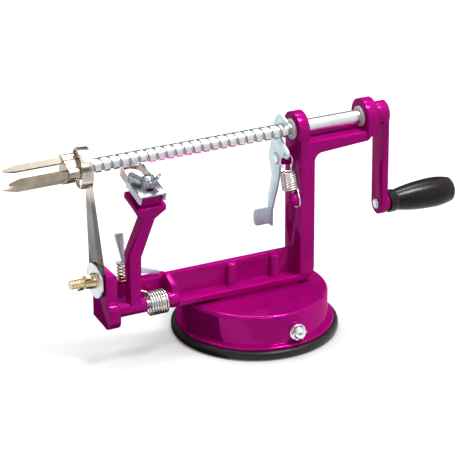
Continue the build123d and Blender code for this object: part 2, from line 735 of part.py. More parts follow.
def slicer_blade():
    x0 = blade_x0
    x1 = end_x0
    half = slicer_half
    lower = box(x0, x1, slicer_y - half, slicer_y + half, slicer_z, slicer_bend_z)
    lower += bar_x(x0, x1, slicer_y, slicer_z, half)
    top_z = shaft_z - ring_r + 1.6
    rise = Plane(origin=((x0 + x1) / 2, slicer_y, slicer_bend_z - 0.01), x_dir=(1, 0, 0), z_dir=(0, 0, 1))
    turn = math.radians(ring_turn)
    peak = Plane(origin=(ring_x + ring_len / 2 + 0.2, 0, top_z), x_dir=(math.cos(turn), math.sin(turn), 0),
                 z_dir=(0, 0, 1))
    low = rise * edge_section(half, x1 - x0)
    high = peak * edge_section(slicer_top_half, x1 - x0)
    blade = loft([low, high], ruled=True)
    ring = bar_x(-ring_len / 2, ring_len / 2, 0, 0, ring_r)
    place = Pos(ring_x, 0, shaft_z) * Rot(0, 0, ring_turn)
    body = lower + blade + place * ring
    body -= place * bar_x(-ring_len, ring_len, 0, 0, ring_r - ring_wall)
    return body - bar_x(x0 - 1, x1 + 1, slicer_y, slicer_z, slicer_stud_r + 0.2)


def edge_section(half, thick):
    t = thick / 2
    bevel = half * 0.6
    return make_face(Polyline((-t, half), (t, half), (t, -half), (t - 0.3, -half), (-t, -half + bevel),
                              close=True))


def slicer_washer():
    x1 = blade_x0
    ring = bar_x(x1 - washer_thick, x1, slicer_y, slicer_z, washer_r)
    ring = fillet(ring.edges().group_by(Axis.X)[0], 0.6)
    return ring - bar_x(x1 - 5, x1 + 1, slicer_y, slicer_z, slicer_stud_r + 0.2)


def slicer_stud():
    return bar_x(slicer_stud_x0, end_x1 - 0.2, slicer_y, slicer_z, slicer_stud_r)


def slicer_wing_nut():
    x1 = blade_x0 - washer_thick - 0.05
    nut = wing_nut(slicer_stud_r, 5.2, 7.0, 10.8, 9.2, 3.0)
    return Pos(x1, slicer_y, slicer_z) * Rot(0, -90, 0) * Rot(0, 0, -46) * nut


def torsion_start():
    return Vector(torsion_x0, pivot_y, pivot_z + torsion_r)


def torsion_arm_end():
    return torsion_start() + Vector(-4.2, 2.2, 1.4)


def torsion_leg_end():
    end_x = torsion_x0 + torsion_pitch * torsion_turns
    return Vector(end_x + 3.4, pivot_y + torsion_r, pivot_z + 2.4)


def torsion_spring():
    axis = Vector(1, 0, 0)
    u = Vector(0, 0, 1)
    v = Vector(0, -1, 0)
    origin = Vector(torsion_x0, pivot_y, pivot_z)
    coil = helix_nodes(origin, u, v, axis, torsion_r, torsion_pitch, torsion_turns)
    near = torsion_arm_end()
    far = torsion_leg_end()
    start = [(Vector(arm_foot_x + 1.2, near.Y, near.Z), axis), (near, axis)]
    end = [(far, axis), (Vector(wall_x1 - 2.2, far.Y, far.Z), axis)]
    return wound("torsion_spring", start + coil + end, torsion_wire)


def catch_lever():
    x = catch_pivot_x
    z = catch_pivot_z
    px = catch_spring_x
    y1 = catch_y0 + catch_thick
    plate = plate_y([(px - 4.8, catch_pad_z + 20.4), (px - 4, catch_pad_z + 21.4), (px + 1.2, catch_pad_z + 21),
                     (px + 1.8, catch_pad_z + 9), (px + 2.8, catch_pad_z + 2), (x, z + 4), (x + 4, z + 0.6),
                     (x + 18, z - 4.6), (x + 18, z - 6.6), (x + 4, z - 3.8), (x - 3, z - 2.6),
                     (px + 4.4, catch_pad_z), (px + 0.2, catch_pad_z)],
                    catch_y0, y1)
    pad = box(px - 4.2, px + 4.2, catch_spring_y - 4.2, y1, catch_pad_z, catch_pad_z + 1.4)
    pad = fillet(edges_near(pad, Axis.Z, y=catch_spring_y - 4.2), 3)
    return plate + pad - bar_y(catch_y0 - 1, y1 + 1, x, z, catch_pin_r + run_gap)


def catch_pin():
    y0 = catch_y0 - 0.2
    head = bar_y(y0 - 1.2, y0, catch_pivot_x, catch_pivot_z, 3.0)
    return head + bar_y(y0, half_depth - 0.1, catch_pivot_x, catch_pivot_z, catch_pin_r)


def catch_spring():
    z0 = neck_z1 + compress_wire / 2 + 0.3
    z1 = catch_pad_z - compress_wire / 2 - 0.3
    pitch = (z1 - z0) / (compress_turns + 0.1)
    origin = Vector(catch_spring_x, catch_spring_y, z0)
    axes = [Vector(1, 0, 0), Vector(0, 1, 0), Vector(0, 0, 1)]
    coil = helix_nodes(origin, *axes, compress_r, pitch, compress_turns)
    p, t = coil[0]
    q, s = coil[-1]
    nodes = [(p - t * compress_wire, t)] + coil + [(q + s * compress_wire, s)]
    return wound("catch_spring", nodes, compress_wire)


def main():
    save("frame", frame())
    save("front_bush", bush(front_boss_x0, front_boss_x1 - front_boss_x0))
    save("rear_bush", bush(rear_boss_x0, rear_boss_x1 - rear_boss_x0))
    save("base_housing", base_housing())
    save("base_screws", *base_screws())
    save("suction_pad", suction_pad())
    save("cam_shaft", cam_shaft())
    save("pad_plunger", pad_plunger())
    save("suction_lever", suction_lever())
    face = -boss_y - 0.3
    washer = bar_y(face - 1.0, face, cam_x, cam_z, 5.6)
    save("cam_washer", washer - bar_y(face - 3, face + 1, cam_x, cam_z, cam_shaft_r + fixed_gap))
    save("cam_nut", acorn_nut(face - 3.6, face - 1.0, cam_x, cam_z, 9.0, cam_shaft_r + fixed_gap))
    save("drive_shaft", drive_shaft())
    save("fork_hub", fork_hub())
    save("fork_prongs", *[prong(angle) for angle in prong_angles])
    save("crank_arm", crank_arm())
    save("crank_screw", crank_screw())
    save("thrust_washer", thrust_washer())
    save("grip_axle", grip_axle())
    save("crank_grip", crank_grip())
    save("release_lever", release_lever())
    save("lever_pivot", lever_pivot())
    save("release_spring", release_spring())
    save("arm_rod", arm_rod())
    save("peeler_arm", peeler_arm())
    save("torsion_spring", torsion_spring())
    save("blade_clip", blade_clip())
    save("peeler_blade", peeler_blade())
    save("blade_screw", blade_screw())
    nut = bent_wing_nut(nut_bore_r, 4.4, 4.8, 10.6, 1.4, (58, 18))
    save("blade_wing_nut", head_place() * Pos(0, 0, 0.05) * Rot(0, 0, -42) * nut)
    save("slicer_blade", slicer_blade())
    save("slicer_washer", slicer_washer())
    save("slicer_stud", slicer_stud())
    save("slicer_wing_nut", slicer_wing_nut())
    save("catch_lever", catch_lever())
    save("catch_pin", catch_pin())
    save("catch_spring", catch_spring())


main()
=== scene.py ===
import bpy
import math
from mathutils import Matrix, Vector


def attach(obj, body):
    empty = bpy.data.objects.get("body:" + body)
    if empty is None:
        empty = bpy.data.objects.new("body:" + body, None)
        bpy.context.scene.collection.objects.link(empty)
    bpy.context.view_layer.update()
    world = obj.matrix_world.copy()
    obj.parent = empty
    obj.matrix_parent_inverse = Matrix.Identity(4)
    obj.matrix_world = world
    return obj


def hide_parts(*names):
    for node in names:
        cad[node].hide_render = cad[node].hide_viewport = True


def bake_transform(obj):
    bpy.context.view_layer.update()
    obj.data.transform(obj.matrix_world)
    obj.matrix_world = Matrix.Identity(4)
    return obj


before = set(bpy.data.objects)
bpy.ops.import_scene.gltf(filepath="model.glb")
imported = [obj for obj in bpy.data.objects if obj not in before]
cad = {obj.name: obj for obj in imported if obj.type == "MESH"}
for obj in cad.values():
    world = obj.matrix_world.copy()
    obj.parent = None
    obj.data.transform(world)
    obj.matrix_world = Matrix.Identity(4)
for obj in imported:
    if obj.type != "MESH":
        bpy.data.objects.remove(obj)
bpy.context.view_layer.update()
mm = 0.001
print("frame:", len(cad), "cad nodes")


# a socket that can be used in sums: each operator adds a Math node
class Wire:
    def __init__(self, nodes, socket):
        self.nodes = nodes
        self.socket = socket

    def maths(self, operation, other=0.0, flipped=False):
        first, second = (other, self) if flipped else (self, other)
        return self.nodes.node("ShaderNodeMath", {"operation": operation}, {0: first, 1: second})

    def __add__(self, other):
        return self.maths("ADD", other)

    def __sub__(self, other):
        return self.maths("SUBTRACT", other)

    def __rsub__(self, other):
        return self.maths("SUBTRACT", other, True)

    def __mul__(self, other):
        return self.maths("MULTIPLY", other)

    def __pow__(self, other):
        return self.maths("POWER", other)

    __radd__ = __add__
    __rmul__ = __mul__


class Nodes:
    def __init__(self, tree):
        self.tree = tree
        tree.nodes.clear()

    # any node: its type, its settings, then the values or links of its sockets
    def node(self, kind, settings=None, sockets=None, out=0):
        made = self.tree.nodes.new(kind)
        for key, value in (settings or {}).items():
            if key == "stops":
                for i, (place, colour) in enumerate(value):
                    stop = made.color_ramp.elements[i] if i < 2 else made.color_ramp.elements.new(place)
                    stop.position = place
                    stop.color = (*colour, 1.0)
            else:
                setattr(made, key, value)
        for key, value in (sockets or {}).items():
            socket = made.inputs[key]
            if isinstance(value, Wire):
                self.tree.links.new(value.socket, socket)
            elif hasattr(value, "__len__") and len(socket.default_value) == 4 and len(value) == 3:
                socket.default_value = (*value, 1.0)
            else:
                socket.default_value = value
        return Wire(self, made.outputs[out]) if made.outputs else made


class Finish(Nodes):
    def __init__(self, name):
        self.material = bpy.data.materials.new(name)
        self.material.use_nodes = True
        super().__init__(self.material.node_tree)
        self.place = self.node("ShaderNodeTexCoord", out="Object")

    def split(self):
        parts = self.node("ShaderNodeSeparateXYZ", sockets={0: self.place})
        outs = parts.socket.node.outputs
        return [Wire(self, outs[i]) for i in range(3)]

    # size is the width of one blotch in metres
    def noise(self, size, detail=2.0, stretch=None):
        place = self.place
        if stretch:
            place = self.node("ShaderNodeVectorMath", {"operation": "MULTIPLY"}, {0: place, 1: stretch})
        return self.node("ShaderNodeTexNoise", sockets={"Vector": place, "Scale": 1 / size, "Detail": detail})

    def spread(self, value, low, high, bottom=0.0, top=1.0):
        return self.node("ShaderNodeMapRange", {"interpolation_type": "SMOOTHSTEP"},
                         {"Value": value, "From Min": low, "From Max": high, "To Min": bottom, "To Max": top})

    def mix(self, share, first, second):
        return self.node("ShaderNodeMix", {"data_type": "RGBA"}, {0: share, 6: first, 7: second}, 2)

    def bump(self, height, depth, strength=1.0, under=None):
        sockets = {"Height": height, "Distance": depth, "Strength": strength}
        if under:
            sockets["Normal"] = under
        return self.node("ShaderNodeBump", sockets=sockets)

    # 1 deep in corners and narrow gaps, 0 on open faces; its callers use it to paint shade there
    def crevice(self, reach, samples=8):
        settings = {"samples": samples, "only_local": True}
        return 1 - self.node("ShaderNodeAmbientOcclusion", settings, {"Distance": reach}, 1)

    def surface(self, sockets):
        shader = self.node("ShaderNodeBsdfPrincipled", sockets=sockets)
        self.node("ShaderNodeOutputMaterial", sockets={0: shader})
        return self.material


enamel = {
    "colour": (0.46, 0.0028, 0.222),
    "deep": (0.39, 0.0016, 0.182),
    "candy": 0.16,
    "sheen": (1.0, 0.12, 0.62),
    "gloss": 0.16,
    "haze": 0.08,
    "hazeSpan": (0.35, 0.75),
    "deepSpan": (0.5, 0.95),
    "coat": 0.12,
    "coatGloss": 0.05,
    "drumGloss": 0.05,
    "drumCandy": 0.38,
    "speckSize": 0.35 * mm,
    "speckHaze": 0.08,
    "speckSpan": (0.62, 0.8),
    "peelSize": 1.5 * mm,
    "peelDepth": 0.010 * mm,
    "peelBump": 0.8,
    "castSize": 11 * mm,
    "castDepth": 0.10 * mm,
    "castBump": 0.6,
    "castShare": 0.4,
    "cloudSize": 33 * mm,
    "edgeRound": 1.1 * mm,
    "edgeSamples": 6,
    "ejectorMarks": [(33.6, 108.7, 3.1), (33.6, 64.5, 3.1), (58.0, 124.2, 2.2)],    # x, z, radius in mm
    "markRim": 0.4 * mm,
    "markDepth": 0.16 * mm,
    "markBump": 0.7,
    "markFace": (-10.4 * mm, -9.8 * mm),    # only on the side towards the arm
}


def enamelFinish(name, marks=(), gloss=enamel["gloss"], candy=enamel["candy"]):
    s = Finish(name)
    slow = s.noise(enamel["cloudSize"], 3)
    cast = s.noise(enamel["castSize"], 2)
    peel = s.noise(enamel["peelSize"], 1)
    speck = s.noise(enamel["speckSize"], 1)
    light = s.spread(slow + cast * enamel["castShare"], *enamel["deepSpan"])
    colour = s.mix(light, enamel["deep"], enamel["colour"])
    rough = gloss + s.spread(slow, *enamel["hazeSpan"]) * enamel["haze"]
    rough = rough + s.spread(speck, *enamel["speckSpan"]) * enamel["speckHaze"]
    edge = s.node("ShaderNodeBevel", {"samples": enamel["edgeSamples"]}, {"Radius": enamel["edgeRound"]})
    normal = s.bump(cast, enamel["castDepth"], enamel["castBump"], edge)
    if marks:
        x, y, z = s.split()
        rings = None
        for markX, markZ, radius in marks:
            away = ((x - markX * mm) ** 2 + (z - markZ * mm) ** 2) ** 0.5
            ring = s.spread(away, radius * mm - enamel["markRim"], radius * mm)
            rings = ring if rings is None else rings * ring
        face = s.spread(y, *enamel["markFace"])
        normal = s.bump(rings + face * (1 - rings), enamel["markDepth"], enamel["markBump"], normal)
    normal = s.bump(peel, enamel["peelDepth"], enamel["peelBump"], normal)
    return s.surface({"Base Color": colour, "Roughness": rough, "Normal": normal, "Metallic": candy,
                      "Coat Weight": enamel["coat"], "Coat Roughness": enamel["coatGloss"],
                      "Specular IOR Level": 0.0, "Specular Tint": enamel["sheen"]})


# the same on every plate
plating = {
    "fineSize": 0.22 * mm, "fineDepth": 0.004 * mm, "fineBump": 0.25, "grainBump": 0.7,
    "tintSpan": (0.3, 0.72), "streakSpan": (0.52, 0.80), "gapShadeSpan": (0.30, 0.85), "hazeSpan": (0.45, 0.8),
    "darkerFade": 12 * mm, "darkerLeast": 0.68, "darkerGrain": 0.7,
}


def plateFinish(name, look):
    s = Finish(name)
    grain = s.noise(look["grainSize"], 4, look["stretch"])
    cloud = s.noise(look["cloudSize"], 3)
    fine = s.noise(plating["fineSize"], 2)
    colour = s.mix(s.spread(cloud, *plating["tintSpan"]), look["colour"], look["tint"])
    colour = s.mix(s.spread(grain, *plating["streakSpan"]) * look["streak"], colour, look["dark"])
    # painted shade: darker in corners and in the gaps between prongs
    if "gapShade" in look:
        colour = s.mix(s.spread(s.crevice(look["gapShade"]), *plating["gapShadeSpan"]), colour, look["dark"])
    # darker towards the bottom: below the given height the colour moves towards the dark tone in streaks
    if "darkerBelow" in look:
        x, y, z = s.split()
        top = look["darkerBelow"]
        streaks = plating["darkerLeast"] + grain * plating["darkerGrain"]
        toneShift = s.spread(z, top, top - plating["darkerFade"]) * streaks
        colour = s.mix(toneShift, colour, look["dark"])
    rough = look["gloss"] + grain * look["haze"] + s.spread(cloud, *plating["hazeSpan"]) * look["haze"]
    normal = s.bump(grain, look["grainDepth"], plating["grainBump"])
    normal = s.bump(fine, plating["fineDepth"], plating["fineBump"], normal)
    return s.surface({"Base Color": colour, "Roughness": rough, "Metallic": look.get("metal", 1.0),
                      "Normal": normal})


zincPlate = {
    "colour": (0.70, 0.745, 0.785), "tint": (0.60, 0.665, 0.735), "dark": (0.34, 0.37, 0.40),
    "gloss": 0.20, "haze": 0.13, "streak": 0.35, "grainSize": 1.1 * mm, "cloudSize": 7 * mm,
    "stretch": (1.0, 1.0, 0.22), "grainDepth": 0.012 * mm,
}
satinZinc = {
    "colour": (0.78, 0.91, 0.97), "tint": (0.68, 0.83, 0.91), "dark": (0.46, 0.56, 0.62),
    "gloss": 0.36, "haze": 0.14, "streak": 0.30, "grainSize": 1.1 * mm, "cloudSize": 7 * mm,
    "stretch": (1.0, 1.0, 0.22), "grainDepth": 0.012 * mm, "metal": 0.75,
}
# painted shade: a darker copy of zincPlate for the blade clip and its wing nut
shadedZinc = {
    **zincPlate,
    "colour": (0.46, 0.48, 0.51), "tint": (0.33, 0.36, 0.40), "dark": (0.12, 0.13, 0.145),
}
warmNickel = {
    "colour": (0.52, 0.46, 0.375), "tint": (0.42, 0.36, 0.285), "dark": (0.10, 0.07, 0.048),
    "gloss": 0.20, "haze": 0.12, "streak": 0.35, "grainSize": 0.9 * mm, "cloudSize": 6 * mm,
    "stretch": (0.25, 1.0, 1.0), "grainDepth": 0.014 * mm, "gapShade": 3.5 * mm,
}
ringNickel = {
    "colour": (0.72, 0.645, 0.59), "tint": (0.56, 0.49, 0.44), "dark": (0.10, 0.085, 0.078),
    "gloss": 0.15, "haze": 0.13, "streak": 0.55, "grainSize": 1.4 * mm, "cloudSize": 11 * mm,
    "stretch": (1.0, 1.0, 0.08), "grainDepth": 0.012 * mm, "darkerBelow": 121 * mm,
}
bladeSteel = {
    "colour": (0.45, 0.37, 0.335), "tint": (0.34, 0.265, 0.24), "dark": (0.13, 0.09, 0.08),
    "gloss": 0.22, "haze": 0.14, "streak": 0.5, "grainSize": 0.8 * mm, "cloudSize": 5 * mm,
    "stretch": (0.25, 0.25, 1.0), "grainDepth": 0.012 * mm,
}
yellowZinc = {
    "colour": (0.83, 0.68, 0.43), "tint": (0.70, 0.53, 0.30), "dark": (0.26, 0.16, 0.07),
    "gloss": 0.17, "haze": 0.12, "streak": 0.35, "grainSize": 0.9 * mm, "cloudSize": 4 * mm,
    "stretch": (0.4, 1.0, 1.0), "grainDepth": 0.012 * mm,
}
drawnWire = {
    "colour": (0.80, 0.785, 0.755), "tint": (0.66, 0.64, 0.61), "dark": (0.26, 0.25, 0.235),
    "gloss": 0.16, "haze": 0.12, "streak": 0.4, "grainSize": 0.6 * mm, "cloudSize": 4 * mm,
    "stretch": (1.0, 1.0, 1.0), "grainDepth": 0.006 * mm,
}
chromeCap = {
    "colour": (0.83, 0.845, 0.855), "tint": (0.75, 0.77, 0.79), "dark": (0.40, 0.41, 0.43),
    "gloss": 0.07, "haze": 0.06, "streak": 0.2, "grainSize": 1.0 * mm, "cloudSize": 5 * mm,
    "stretch": (1.0, 1.0, 1.0), "grainDepth": 0.004 * mm,
}

shaftSteel = {
    "crest": (0.80, 0.805, 0.81), "tint": (0.70, 0.71, 0.725),
    # the groove colour and the corner colour are painted shade
    "groove": (0.44, 0.44, 0.45), "cornerShade": (0.05, 0.05, 0.052), "cornerShadeReach": 1.6 * mm,
    "gloss": 0.20, "latheHaze": 0.12, "grooveHaze": 0.18, "cloudSize": 6 * mm,
    "tintSpan": (0.3, 0.7), "cornerShadeSpan": (0.35, 0.8), "latheSize": 0.5 * mm,
    "latheStretch": (1.0, 0.06, 0.06), "latheDepth": 0.010 * mm, "latheBump": 0.6,    # marks round the bar
    "axisZ": 136.0 * mm, "crestFrom": 3.80 * mm, "crestTo": 4.63 * mm,    # radii
}


def shaftFinish():
    s = Finish("shaftSteel")
    x, y, z = s.split()
    away = (y ** 2 + (z - shaftSteel["axisZ"]) ** 2) ** 0.5
    crest = s.spread(away, shaftSteel["crestFrom"], shaftSteel["crestTo"])
    turned = s.noise(shaftSteel["latheSize"], 3, shaftSteel["latheStretch"])
    cloud = s.noise(shaftSteel["cloudSize"], 3)
    colour = s.mix(s.spread(cloud, *shaftSteel["tintSpan"]), shaftSteel["crest"], shaftSteel["tint"])
    # painted shade: the thread's groove darker than its crest
    colour = s.mix(crest, shaftSteel["groove"], colour)
    # painted shade: very dark in the corners at the groove's sides
    cornerShading = s.spread(s.crevice(shaftSteel["cornerShadeReach"]), *shaftSteel["cornerShadeSpan"])
    colour = s.mix(cornerShading, colour, shaftSteel["cornerShade"])
    rough = shaftSteel["gloss"] + turned * shaftSteel["latheHaze"] + (1 - crest) * shaftSteel["grooveHaze"]
    normal = s.bump(turned, shaftSteel["latheDepth"], shaftSteel["latheBump"])
    return s.surface({"Base Color": colour, "Roughness": rough, "Metallic": 1.0, "Normal": normal})


rubberPad = {
    "colour": (0.0105, 0.0075, 0.0085), "dust": (0.028, 0.021, 0.023), "gloss": 0.30, "shine": 0.30,
    "grainSize": 0.5 * mm, "grainDepth": 0.03 * mm, "grainBump": 0.5, "grainHaze": 0.16,
    "cloudSize": 14 * mm, "cloudHaze": 0.12, "cloudSpan": (0.4, 0.8), "dustSpan": (0.45, 0.8), "dusty": 0.5,
}


def rubberFinish():
    s = Finish("blackRubber")
    grain = s.noise(rubberPad["grainSize"], 3)
    cloud = s.noise(rubberPad["cloudSize"], 4)
    dusty = s.spread(cloud, *rubberPad["dustSpan"]) * rubberPad["dusty"]
    colour = s.mix(dusty, rubberPad["colour"], rubberPad["dust"])
    rough = rubberPad["gloss"] + grain * rubberPad["grainHaze"]
    rough = rough + s.spread(cloud, *rubberPad["cloudSpan"]) * rubberPad["cloudHaze"]
    normal = s.bump(grain, rubberPad["grainDepth"], rubberPad["grainBump"])
    return s.surface({"Base Color": colour, "Roughness": rough, "Normal": normal,
                      "Specular IOR Level": rubberPad["shine"]})


gripPlastic = {
    "colour": (0.0100, 0.0068, 0.0072), "toneShift": (0.019, 0.0135, 0.0138), "gloss": 0.20, "shine": 0.23,
    "pebbleSize": 0.7 * mm, "pebbleDepth": 0.022 * mm, "pebbleBump": 0.5, "pebbleHaze": 0.10,
    "cloudSize": 18 * mm, "cloudHaze": 0.08, "cloudSpan": (0.4, 0.8), "wornSpan": (0.45, 0.75),
}


def gripFinish():
    s = Finish("blackGrip")
    pebble = s.noise(gripPlastic["pebbleSize"], 2)
    cloud = s.noise(gripPlastic["cloudSize"], 3)
    colour = s.mix(s.spread(cloud, *gripPlastic["wornSpan"]), gripPlastic["colour"], gripPlastic["toneShift"])
    rough = gripPlastic["gloss"] + pebble * gripPlastic["pebbleHaze"]
    rough = rough + s.spread(cloud, *gripPlastic["cloudSpan"]) * gripPlastic["cloudHaze"]
    normal = s.bump(pebble, gripPlastic["pebbleDepth"], gripPlastic["pebbleBump"])
    return s.surface({"Base Color": colour, "Roughness": rough, "Normal": normal,
                      "Specular IOR Level": gripPlastic["shine"]})


nylonBush = {
    "colour": (0.84, 0.83, 0.80), "shade": (0.74, 0.73, 0.71), "gloss": 0.38,
    "cloudSize": 5 * mm, "shadeSpan": (0.4, 0.75),
    "fineSize": 0.4 * mm, "fineDepth": 0.012 * mm, "fineBump": 0.4, "fineHaze": 0.14,
    "milky": 0.15, "milkyReach": (0.6 * mm, 0.6 * mm, 0.5 * mm),
}


def nylonFinish():
    s = Finish("whiteNylon")
    cloud = s.noise(nylonBush["cloudSize"], 3)
    fine = s.noise(nylonBush["fineSize"], 2)
    colour = s.mix(s.spread(cloud, *nylonBush["shadeSpan"]), nylonBush["colour"], nylonBush["shade"])
    rough = nylonBush["gloss"] + fine * nylonBush["fineHaze"]
    normal = s.bump(fine, nylonBush["fineDepth"], nylonBush["fineBump"])
    return s.surface({"Base Color": colour, "Roughness": rough, "Normal": normal,
                      "Subsurface Weight": nylonBush["milky"], "Subsurface Radius": nylonBush["milkyReach"]})


finishes = {
    "frameEnamel": enamelFinish("frameEnamel", enamel["ejectorMarks"]),
    "enamel": enamelFinish("magentaEnamel"),
    "drumEnamel": enamelFinish("drumEnamel", (), enamel["drumGloss"], enamel["drumCandy"]),
    "zinc": plateFinish("zincPlate", zincPlate),
    "satin": plateFinish("satinZinc", satinZinc),
    "shaded": plateFinish("shadedZinc", shadedZinc),
    "nickel": plateFinish("warmNickel", warmNickel),
    "ring": plateFinish("ringNickel", ringNickel),
    "blade": plateFinish("bladeSteel", bladeSteel),
    "yellow": plateFinish("yellowZinc", yellowZinc),
    "wire": plateFinish("drawnWire", drawnWire),
    "chrome": plateFinish("chromeCap", chromeCap),
    "shaft": shaftFinish(),
    "rubber": rubberFinish(),
    "grip": gripFinish(),
    "nylon": nylonFinish(),
}
print("finishes:", len(finishes))


# finish, and the round put on each sharp edge in millimetres; 0 leaves the edge as it is
dress = {
    "frame": ("frameEnamel", 1.2), "base_housing": ("drumEnamel", 0.5), "crank_arm": ("enamel", 0.9),
    "peeler_arm": ("enamel", 0.6), "suction_lever": ("enamel", 0.6),
    "front_bush": ("nylon", 0.2), "rear_bush": ("nylon", 0.2), "thrust_washer": ("nylon", 0.2),
    "suction_pad": ("rubber", 0), "crank_grip": ("grip", 0),
    "fork_hub": ("nickel", 0.4), "fork_prongs": ("nickel", 0), "slicer_blade": ("ring", 0.15),
    "peeler_blade": ("blade", 0.06), "slicer_wing_nut": ("yellow", 0.45),
    "drive_shaft": ("shaft", 0), "cam_nut": ("chrome", 0.4), "cam_washer": ("chrome", 0.15),
    "cam_shaft": ("chrome", 0.4), "blade_clip": ("shaded", 0.2), "blade_wing_nut": ("shaded", 0.35),
    "release_lever": ("satin", 0.2), "catch_lever": ("satin", 0.2), "slicer_washer": ("zinc", 0.15),
}
plainDress = ("zinc", 0.25)    # every other node
edgeWork = {"weld": 0.002 * mm, "flatAngle": 0.6, "segments": 3, "sharpAngle": 28, "shadeAngle": 32}


def smoothByAngle(degrees):
    group = bpy.data.node_groups.get("smoothByAngle")
    if group:
        return group
    group = bpy.data.node_groups.new("smoothByAngle", "GeometryNodeTree")
    group.interface.new_socket("Geometry", in_out="INPUT", socket_type="NodeSocketGeometry")
    group.interface.new_socket("Geometry", in_out="OUTPUT", socket_type="NodeSocketGeometry")
    start = group.nodes.new("NodeGroupInput")
    end = group.nodes.new("NodeGroupOutput")
    soft = group.nodes.new("GeometryNodeSetShadeSmooth")
    hard = group.nodes.new("GeometryNodeSetShadeSmooth")
    hard.domain = "EDGE"
    hard.inputs["Shade Smooth"].default_value = False
    angle = group.nodes.new("GeometryNodeInputMeshEdgeAngle")
    over = group.nodes.new("FunctionNodeCompare")
    over.operation = "GREATER_THAN"
    over.inputs[1].default_value = math.radians(degrees)
    group.links.new(start.outputs[0], soft.inputs["Geometry"])
    group.links.new(soft.outputs[0], hard.inputs["Geometry"])
    group.links.new(angle.outputs[0], over.inputs[0])
    group.links.new(over.outputs[0], hard.inputs["Selection"])
    group.links.new(hard.outputs[0], end.inputs[0])
    return group


def softenEdges(piece, edge):
    mesh = piece.data
    if mesh.attributes.get("custom_normal"):
        mesh.attributes.remove(mesh.attributes["custom_normal"])
    weld = piece.modifiers.new("weld", "WELD")
    weld.merge_threshold = edgeWork["weld"]
    if edge:
        flat = piece.modifiers.new("flat", "DECIMATE")
        flat.decimate_type = "DISSOLVE"
        flat.angle_limit = math.radians(edgeWork["flatAngle"])
        bevel = piece.modifiers.new("edge", "BEVEL")
        bevel.width = edge * mm
        bevel.segments = edgeWork["segments"]
        bevel.limit_method = "ANGLE"
        bevel.angle_limit = math.radians(edgeWork["sharpAngle"])
        bevel.miter_outer = "MITER_ARC"
    shade = piece.modifiers.new("shade", "NODES")
    shade.node_group = smoothByAngle(edgeWork["shadeAngle"])


for name, piece in cad.items():
    finish, edge = dress.get(name, plainDress)
    piece.data.materials.clear()
    piece.data.materials.append(finishes[finish])
    softenEdges(piece, edge)
print("cad nodes dressed:", len(cad))


# body is None for a piece that is attached to no body, such as a spring that spans two bodies
def meshPiece(name, points, faces, finish, body):
    mesh = bpy.data.meshes.new(name)
    mesh.from_pydata([tuple(p) for p in points], [], faces)
    mesh.polygons.foreach_set("use_smooth", [True] * len(mesh.polygons))
    mesh.materials.append(finishes[finish])
    mesh.validate()
    piece = bpy.data.objects.new(name, mesh)
    bpy.context.scene.collection.objects.link(piece)
    if body:
        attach(piece, body)
    return piece


# quads round a stack of rings, and a flat face on each end
def skinRings(count, sides):
    faces = []
    for i in range(count - 1):
        for k in range(sides):
            n = (k + 1) % sides
            faces.append((i * sides + k, i * sides + n, (i + 1) * sides + n, (i + 1) * sides + k))
    faces.append(tuple(reversed(range(sides))))
    faces.append(tuple(range((count - 1) * sides, count * sides)))
    return faces


# round bar along a line of points, with domed ends
def tubeAlong(line, radius, sides):
    points, tangents = [], []
    count = len(line)
    for i in range(count):
        tangents.append((line[min(i + 1, count - 1)] - line[max(i - 1, 0)]).normalized())
    across = tangents[0].orthogonal().normalized()
    rows = []
    for p, t in zip(line, tangents):
        across = (across - t * across.dot(t)).normalized()
        rows.append((p, t, across, radius))
    dome = [(0.35, 0.94), (0.7, 0.71), (0.94, 0.34)]
    p, t, a, r = rows[0]
    rows = [(p - t * r * out, t, a, r * share) for out, share in reversed(dome)] + rows
    p, t, a, r = rows[-1]
    rows += [(p + t * r * out, t, a, r * share) for out, share in dome]
    for p, t, a, r in rows:
        b = t.cross(a)
        for k in range(sides):
            turn = 2 * math.pi * k / sides
            points.append(p + (a * math.cos(turn) + b * math.sin(turn)) * r)
    return points, skinRings(len(rows), sides)


# easy curve from place p, heading t, to place q, heading s
def lead(p, t, q, s, steps=14):
    pull = (q - p).length
    line = []
    for i in range(steps):
        u = i / steps
        a, b = 2 * u ** 3 - 3 * u ** 2 + 1, u ** 3 - 2 * u ** 2 + u
        c, d = 3 * u ** 2 - 2 * u ** 3, u ** 3 - u ** 2
        line.append(p * a + t * (pull * b) + q * c + s * (pull * d))
    return line


# helix along w, from the side u towards v; also its headings at both ends
def coil(origin, u, v, w, radius, pitch, turns, perTurn=40):
    line = []
    count = round(turns * perTurn)
    for i in range(count + 1):
        mark = turns * i / count
        a = 2 * math.pi * mark
        line.append(origin + (u * math.cos(a) + v * math.sin(a)) * radius + w * (pitch * mark))
    rise = pitch / (2 * math.pi * radius)
    a = 2 * math.pi * turns
    first = (v + w * rise).normalized()
    last = (v * math.cos(a) - u * math.sin(a) + w * rise).normalized()
    return line, first, last


def placed(line):
    return [p * mm for p in line]


# angles from one to another, given in degrees
def sweep(start, end, count):
    return [math.radians(start + (end - start) * i / (count - 1)) for i in range(count)]


releaseSpring = {
    "wire": 1.1, "radius": 4.95, "turns": 7.75, "pitch": 1.56, "loop": 4.5, "reach": 3.0, "lean": 0.14,
    "foot": (22.45, -7.6, 96.7), "earX": 20.75, "stud": (26.3, -9.0, 89.5), "studLoop": 5.2, "sides": 14,
    "lowHook": (-315, -45, 46), "highHook": (45, 305, 45),    # degrees from, to, and points
}


